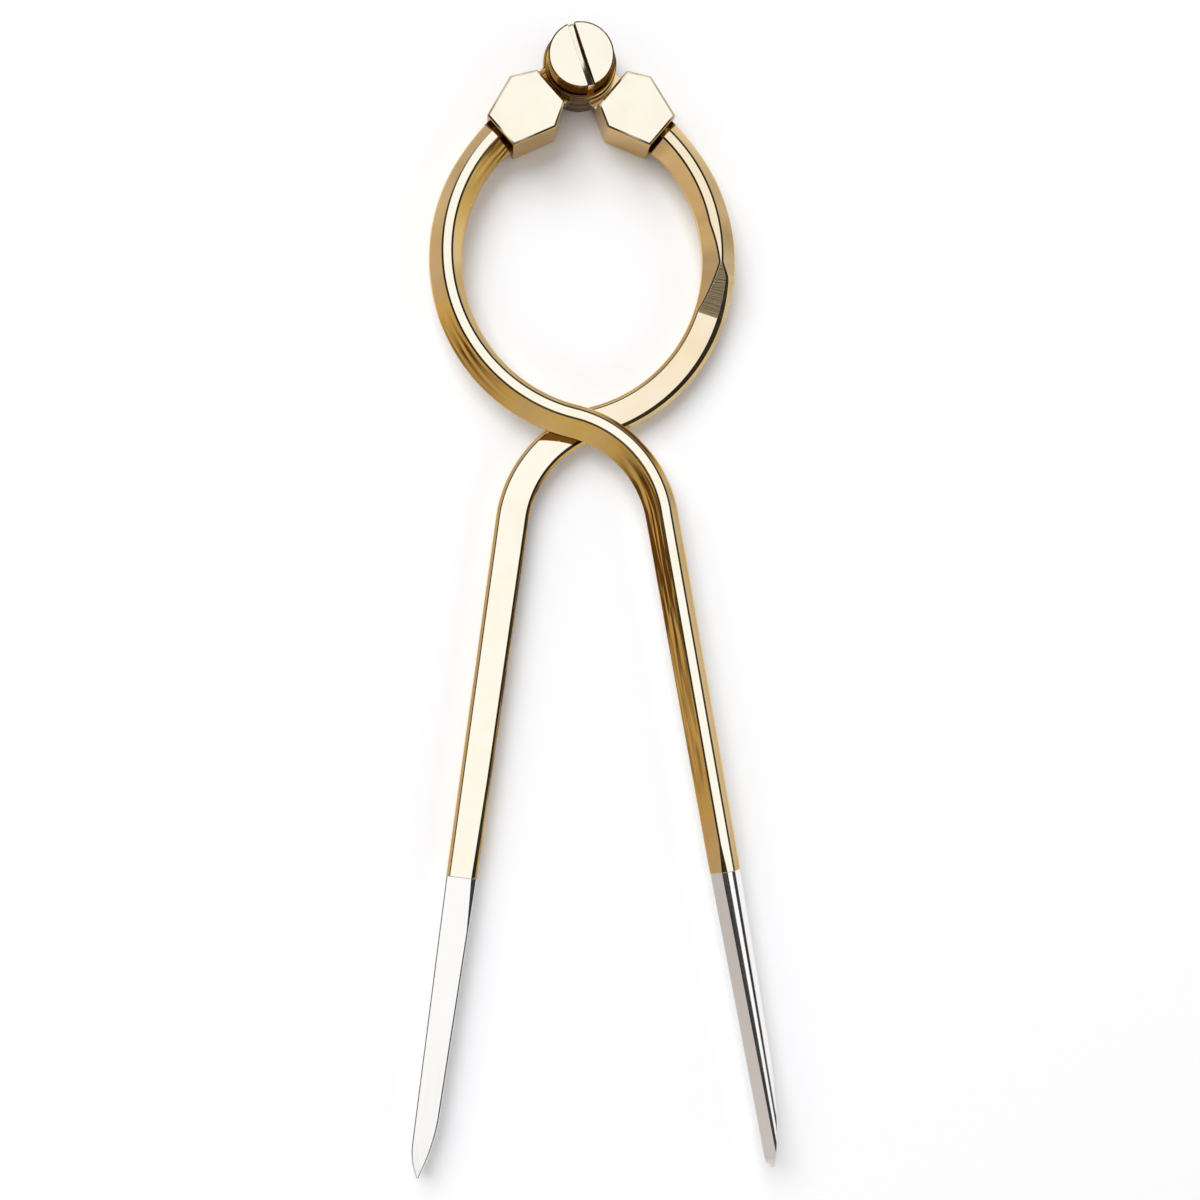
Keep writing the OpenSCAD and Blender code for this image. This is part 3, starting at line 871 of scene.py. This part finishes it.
def polished_brass(tree, colours):
    """Polished brass with painted light: bright on its flats as a painted highlight, warmer on its
    slopes, brown where shade is painted, with lines along the run.
    """
    tone = add_node(tree, "Attribute", attribute_name="tone").outputs["Fac"]
    run = add_node(tree, "Attribute", attribute_name="run").outputs["Vector"]
    place = add_node(tree, "TexCoord").outputs["Object"]
    # Clouds of handling tarnish about 9 mm across
    clouds = add_node(tree, "TexNoise", {"Vector": place, "Scale": 1 / (9 * MM), "Detail": 4})
    warm = add_node(tree, "MapRange", {
        "Value": clouds, "From Min": 0.3, "From Max": 0.75, "To Min": -0.08, "To Max": 0.12,
    })
    toned = add_node(tree, "Math", {0: tone, 1: warm}, operation="ADD")
    # Painted shade of the other arm: a brown mark 1.8 mm wide runs aslant over the halved face, the
    # first 4.4 mm round the section, where the other arm lies over it
    mark = bpy.context.scene.divider_sizes.crossing_shade
    parts = add_node(tree, "SeparateXYZ", {"Vector": run}).outputs
    aslant = add_node(tree, "Math", {0: parts["X"], 1: parts["Y"]}, operation="ADD")
    off = add_node(tree, "Math", {0: aslant, 1: mark}, operation="SUBTRACT")
    off = add_node(tree, "Math", {0: off}, operation="ABSOLUTE")
    # The painted shade is full within 0.7 mm of the mark's line and gone at 1.1 mm
    crossing_darkening = add_node(tree, "MapRange", {
        "Value": off, "From Min": 0.7 * MM, "From Max": 1.1 * MM, "To Min": 6, "To Max": 0,
    })
    on_face = add_node(tree, "Math", {0: parts["Y"], 1: 4.4 * MM}, operation="LESS_THAN")
    toned = add_node(tree, "Math", {0: crossing_darkening, 1: on_face, 2: toned}, operation="MULTIPLY_ADD")
    golden = add_node(tree, "Math", {0: toned, 1: 0}, operation="ADD", use_clamp=True)
    # Bright brass for the painted highlight on the flats, golden brass on the slopes and sides
    warmth = add_node(tree, "Mix", {
        "Factor": golden, "A": (*colours.bright_brass, 1), "B": (*colours.golden_brass, 1),
    }, data_type="RGBA")
    # Brown streaks about 12 mm long and 0.6 mm apart break up the brown of the painted shade and
    # reflections
    lay = add_node(tree, "Mapping", {"Vector": run, "Scale": (1 / (12 * MM), 1 / (0.6 * MM), 1)})
    streaks = add_node(tree, "TexNoise", {"Vector": lay, "Scale": 1, "Detail": 2})
    streaks = add_node(tree, "MapRange", {
        "Value": streaks, "From Min": 0.4, "From Max": 0.6, "To Min": 0.2, "To Max": 2.2,
    })
    over = add_node(tree, "Math", {0: toned, 1: 1}, operation="SUBTRACT")
    brown = add_node(tree, "Math", {0: over, 1: streaks}, operation="MULTIPLY", use_clamp=True)
    tint = add_node(tree, "Mix", {
        "Factor": brown, "A": warmth.outputs["Result"], "B": (*colours.shade_brown, 1),
    }, data_type="RGBA")
    # Polishing lines lie 0.15 mm apart and about 12 mm long, drawn that coarse so that they show
    lined_metal(
        tree, tint.outputs["Result"], 12 * MM, 0.15 * MM, {"Detail": 3, "Roughness": 0.6},
        {"From Min": 0.3, "From Max": 0.7, "To Min": 0.07, "To Max": 0.16},
        {"Strength": 0.12, "Distance": 0.01 * MM},
    )


def filed_brass(tree, colours):
    """Filed brass of the ramps: even file marks across the run, dull and dark beside the polish."""
    # File marks lie across the bar, 0.28 mm apart and 6 mm long
    lined_metal(
        tree, (*colours.filed_brass, 1), 0.28 * MM, 6 * MM, {"Detail": 2},
        {"To Min": 0.2, "To Max": 0.36}, {"Strength": 0.6, "Distance": 0.06 * MM},
    )


def ground_steel(tree, colours):
    """Ground and polished steel of the tips: cool white, with faint lines along the blade."""
    # Grinding lines lie 0.2 mm apart and about 15 mm long, drawn that coarse so that they show
    lined_metal(
        tree, (*colours.ground_steel, 1), 15 * MM, 0.2 * MM, {"Detail": 3, "Roughness": 0.6},
        {"From Min": 0.3, "From Max": 0.7, "To Min": 0.1, "To Max": 0.2},
        {"Strength": 0.1, "Distance": 0.01 * MM},
    )


def spring_steel(tree, colours):
    """Hardened spring steel: darker and greyer than the tips, with a soft rolled sheen."""
    place = add_node(tree, "TexCoord").outputs["Object"]
    # Rolled mottle about 1.5 mm across
    mottle = add_node(tree, "TexNoise", {"Vector": place, "Scale": 1 / (1.5 * MM), "Detail": 3})
    rough = add_node(tree, "MapRange", {"Value": mottle, "To Min": 0.2, "To Max": 0.4})
    metal = {"Base Color": (*colours.spring_steel, 1), "Metallic": 1, "Roughness": rough}
    shader = add_node(tree, "BsdfPrincipled", metal)
    add_node(tree, "OutputMaterial", {"Surface": shader})


def white_paper(tree, colours):
    """Smooth white paper, matt and a little cool, that the light turns white; it keeps shadows."""
    matt = add_node(tree, "BsdfDiffuse", {"Color": (*colours.floor, 1)})
    add_node(tree, "OutputMaterial", {"Surface": matt})


FINISHES = {
    "Polished brass": polished_brass,
    "Filed brass": filed_brass,
    "Ground steel": ground_steel,
    "Spring steel": spring_steel,
    "White paper": white_paper,
}


def finish(name):
    """The material of that name, made the first time it is asked for."""
    if name not in bpy.data.materials:
        material = bpy.data.materials.new(name)
        material.use_nodes = True
        material.node_tree.nodes.clear()
        FINISHES[name](material.node_tree, bpy.context.scene.divider_colours)
    return bpy.data.materials[name]


class DIVIDER_OT_legs(bpy.types.Operator):
    """Makes the two brass legs with their bows"""

    bl_idname = "divider.legs"
    bl_label = "Brass Legs"

    def execute(self, context):
        s = context.scene.divider_sizes
        d = shape(s)
        for arm, place in arm_places(s):
            leg_skin(s, d).piece(
                f"{arm}_leg_bar", place, f"{arm}_leg", f"{arm}_arm", "polished_brass",
                "Polished brass", "Filed brass",
            )
        return {"FINISHED"}


class DIVIDER_OT_collars(bpy.types.Operator):
    """Makes the two hexagonal collars with their lugs"""

    bl_idname = "divider.collars"
    bl_label = "Hexagonal Collars"

    def execute(self, context):
        s = context.scene.divider_sizes
        d = shape(s)
        for arm, place in arm_places(s):
            skin = collar_body_skin(s, d)
            skin.add(lug_skin(s, d))
            skin.piece(
                f"{arm}_collar_block", place, f"{arm}_collar", f"{arm}_arm", "polished_brass",
                "Polished brass",
            )
        return {"FINISHED"}


class DIVIDER_OT_tips(bpy.types.Operator):
    """Makes the two steel tips"""

    bl_idname = "divider.tips"
    bl_label = "Steel Tips"

    def execute(self, context):
        s = context.scene.divider_sizes
        d = shape(s)
        values = ("point_width", "point_offset", "outer_length", "inner_length")
        for arm, place in arm_places(s):
            skin = tip_skin(s, d, *[getattr(s, f"{arm}_{value}") for value in values])
            skin.piece(
                f"{arm}_tip_blade", place, f"{arm}_tip", f"{arm}_arm", "polished_steel",
                "Ground steel",
            )
        return {"FINISHED"}


class DIVIDER_OT_screw(bpy.types.Operator):
    """Makes the slotted pivot screw"""

    bl_idname = "divider.screw"
    bl_label = "Pivot Screw"

    def execute(self, context):
        s = context.scene.divider_sizes
        radius = HEAD_HIGH.x
        top = HEAD_HIGH.z
        base = top - s.head_height
        half = s.slot_width / 2
        opening = math.asin(half / radius)
        turns = [mix(opening, math.pi - opening, i / HEAD_STEPS) for i in range(HEAD_STEPS + 1)]
        skin = Skin()
        for side in (1, -1):
            outline = [side * radius * direction(turn) for turn in turns]
            skin.add(half_head_skin(
                outline, base, top, s.turned_round, s.face_line, s.shoulder_tilt
            ))
        slot_end = radius * math.cos(opening)
        rings = []
        for i in range(SLOT_STEPS + 1):
            x = mix(-slot_end, slot_end, i / SLOT_STEPS)
            floor = top - s.slot_depth * (1 - SLOT_HOLLOW * (x / radius) ** 2)
            section = rounded(block(-half, half, base, floor), [SLOT_ROUND] * 4)
            rings.append((stood_up(section, Vector((x, 0)), Vector((0, 1))), x))
        slot_tones = tones_round(SLOT_TONES)
        skin.add(loft(rings, lambda along: slot_tones))
        shank = block(CENTRE, s.shank_diameter / 2, HEAD_LOW.z, base + OVERLAP)
        skin.add(turned_solid(shank, SHANK_ROUNDS, SHANK_TONES))
        place = Matrix.Rotation(s.slot_angle + math.pi / 2, 4, "Z")
        skin.piece(
            "pivot_screw_head", place, "pivot_screw", "screw", "polished_brass", "Polished brass"
        )
        return {"FINISHED"}


class DIVIDER_OT_washers(bpy.types.Operator):
    """Makes the washers of the hinge"""

    bl_idname = "divider.washers"
    bl_label = "Washers"

    def execute(self, context):
        s = context.scene.divider_sizes
        level = Matrix.Identity(4)
        for node, low, high, bore, body in (
            ("head_washer", HEAD_WASHER_LOW, HEAD_WASHER_HIGH, s.washer_bore, "screw"),
            ("friction_washer", FRICTION_LOW, FRICTION_HIGH, s.pivot_bore, "rear_arm"),
            ("rear_washer", REAR_WASHER_LOW, REAR_WASHER_HIGH, s.pivot_bore, "rear_arm"),
        ):
            skin = ring_skin(bore, high.x, low.z, high.z, WASHER_ROUND)
            skin.piece(f"{node}_disc", level, node, body, "polished_brass", "Polished brass")
        corners = [
            (s.washer_bore, SPRING_HIGH.z - SPRING_SHEET),
            (SPRING_HIGH.x, SPRING_LOW.z),
            (SPRING_HIGH.x, SPRING_LOW.z + SPRING_SHEET),
            (s.washer_bore, SPRING_HIGH.z),
        ]
        skin = turned_solid(corners, [WASHER_ROUND] * 4, RING_TONES)
        skin.piece(
            "spring_washer_cone", level, "spring_washer", "front_arm", "spring_steel",
            "Spring steel",
        )
        return {"FINISHED"}


class DIVIDER_OT_nut(bpy.types.Operator):
    """Makes the blind nut with its sleeve"""

    bl_idname = "divider.nut"
    bl_label = "Pivot Nut"

    def execute(self, context):
        s = context.scene.divider_sizes
        bore = s.shank_diameter / 2 + RUNNING_ROOM
        rim = NUT_HIGH.x
        shelf = REAR_WASHER_LOW.z
        flange_low, sleeve_low = s.nut_floor - FLOOR_OVERLAP, shelf - OVERLAP
        skin = ring_skin(CENTRE, rim, NUT_LOW.z, s.nut_floor, s.turned_round)
        skin.add(ring_skin(bore, rim, flange_low, shelf, FLANGE_ROUND))
        skin.add(ring_skin(bore, s.sleeve_radius, sleeve_low, NUT_HIGH.z, SLEEVE_ROUND))
        skin.piece(
            "pivot_nut_flange", Matrix.Identity(4), "pivot_nut", "rear_arm", "polished_brass",
            "Polished brass",
        )
        return {"FINISHED"}


# The camera stands over the divider, a little to its left, and looks down on it
CAMERA_PLACE = Vector((-16.05, -90.35, 274.4)) * MM
CAMERA_AIM = Vector((1.97, -92.12, 4.5)) * MM
CAMERA_ROLL = math.radians(1.02)
CAMERA_LENS = 46.77
CAMERA_SENSOR = 36
CAMERA_NEAR = 0.01

FLOOR_HALF = 3
# A large soft window above and behind the divider, to its left, gives the shadows
WINDOW_PLACE = (-0.95, 1.6, 2.4)
WINDOW_SIZE = 2.4
WINDOW_POWER = 80
# Edges of the overhead softbox and of the walls, as heights on a ball of radius 1, and their light
BOX_EDGE, BOX_LIGHT = (0.895, 0.915), 1.05
WALL_EDGE, WALL_LIGHT = (0.655, 0.715), 0.75
CEILING_LIGHT = 0.03
# Shares of the walls' light: on the left and the right, and on their darkest and palest panels
SIDE_SHARES = (0.88, 0.96)
PANEL_SHARES = (0.65, 1.2)
PANEL_RANGE = (0.35, 0.65)
PANELS_ROUND = 2.2
RANGE_INPUTS = ("Value", "From Min", "From Max", "To Min", "To Max")
WHITE, WARM_WHITE = (1, 1, 1, 1), (1, 0.9, 0.83, 1)


class DIVIDER_OT_stage(bpy.types.Operator):
    """Makes the floor, the lights, the world and the camera"""

    bl_idname = "divider.stage"
    bl_label = "Stage"

    def execute(self, context):
        scene = context.scene
        scene.view_settings.view_transform = "Standard"
        self.lay_floor(scene)
        self.light_room(scene)
        self.hang_lamp(scene)
        self.set_camera(scene)
        return {"FINISHED"}

    def lay_floor(self, scene):
        mesh = bpy.data.meshes.new("floor")
        sides = ((-1, -1), (1, -1), (1, 1), (-1, 1))
        corners = [(x * FLOOR_HALF, y * FLOOR_HALF, 0) for x, y in sides]
        mesh.from_pydata(corners, [], [(0, 1, 2, 3)])
        mesh.materials.append(finish("White paper"))
        floor = bpy.data.objects.new("floor", mesh)
        scene.collection.objects.link(floor)

    def light_room(self, scene):
        """A softbox overhead, an unlit ceiling round it, and pale walls, brighter on the right."""
        world = bpy.data.worlds.new("Studio room")
        world.use_nodes = True
        tree = world.node_tree
        tree.nodes.clear()
        place = add_node(tree, "TexCoord").outputs["Generated"]
        parts = add_node(tree, "SeparateXYZ", {"Vector": place}).outputs
        panels = add_node(tree, "TexNoise", {"Vector": place, "Scale": PANELS_ROUND, "Detail": 2})
        box, wall, side, shade, left = [
            add_node(tree, "MapRange", dict(zip(RANGE_INPUTS, values)))
            for values in (
                (parts["Z"], *BOX_EDGE, 0, BOX_LIGHT),
                (parts["Z"], *WALL_EDGE, WALL_LIGHT, CEILING_LIGHT),
                (parts["X"], -1, 1, *SIDE_SHARES),
                (panels, *PANEL_RANGE, *PANEL_SHARES),
                (parts["X"], -1, 0, 1, 0),
            )
        ]
        side = add_node(tree, "Math", {0: side, 1: shade}, operation="MULTIPLY")
        wall = add_node(tree, "Math", {0: wall, 1: side}, operation="MULTIPLY")
        total = add_node(tree, "Math", {0: wall, 1: box}, operation="ADD")
        # The wall on the left is a little warmer than the rest
        ends = {"Factor": left, "A": WHITE, "B": WARM_WHITE}
        tint = add_node(tree, "Mix", ends, data_type="RGBA").outputs["Result"]
        light = add_node(tree, "Background", {"Color": tint, "Strength": total})
        add_node(tree, "OutputWorld", {"Surface": light})
        scene.world = world

    def hang_lamp(self, scene):
        lamp = bpy.data.lights.new("Window light", "AREA")
        lamp.size = WINDOW_SIZE
        lamp.energy = WINDOW_POWER
        light = bpy.data.objects.new("Window light", lamp)
        light.location = WINDOW_PLACE
        light.rotation_mode = "QUATERNION"
        light.rotation_quaternion = (CAMERA_AIM - light.location).to_track_quat("-Z", "Y")
        light.visible_glossy = False
        scene.collection.objects.link(light)

    def set_camera(self, scene):
        eye = bpy.data.cameras.new("Camera")
        eye.lens = CAMERA_LENS
        eye.sensor_width = CAMERA_SENSOR
        eye.clip_start = CAMERA_NEAR
        camera = bpy.data.objects.new("Camera", eye)
        back = (CAMERA_PLACE - CAMERA_AIM).normalized()
        up = Vector((math.sin(CAMERA_ROLL), math.cos(CAMERA_ROLL), 0))
        right = up.cross(back).normalized()
        turn = Matrix((right, back.cross(right), back)).transposed()
        camera.matrix_world = Matrix.Translation(CAMERA_PLACE) @ turn.to_4x4()
        scene.collection.objects.link(camera)
        scene.camera = camera


class DIVIDER_PT_panel(bpy.types.Panel):
    """Lists the divider's pieces in the sidebar"""

    bl_idname = "DIVIDER_PT_panel"
    bl_label = "Navigation Divider"
    bl_space_type = "VIEW_3D"
    bl_region_type = "UI"
    bl_category = "Divider"

    def draw(self, context):
        for maker in MAKERS:
            self.layout.operator(maker.bl_idname)


MAKERS = (
    DIVIDER_OT_stage,
    DIVIDER_OT_legs,
    DIVIDER_OT_collars,
    DIVIDER_OT_tips,
    DIVIDER_OT_screw,
    DIVIDER_OT_washers,
    DIVIDER_OT_nut,
)
CLASSES = (DividerSizes, DividerColours, *MAKERS, DIVIDER_PT_panel)


def register():
    for made in CLASSES:
        bpy.utils.register_class(made)
    bpy.types.Scene.divider_sizes = PointerProperty(type=DividerSizes)
    bpy.types.Scene.divider_colours = PointerProperty(type=DividerColours)


def unregister():
    del bpy.types.Scene.divider_colours
    del bpy.types.Scene.divider_sizes
    for made in reversed(CLASSES):
        bpy.utils.unregister_class(made)


def main():
    register()
    for maker in MAKERS:
        group, name = maker.bl_idname.split(".")
        getattr(getattr(bpy.ops, group), name)()


if __name__ == "__main__":
    main()
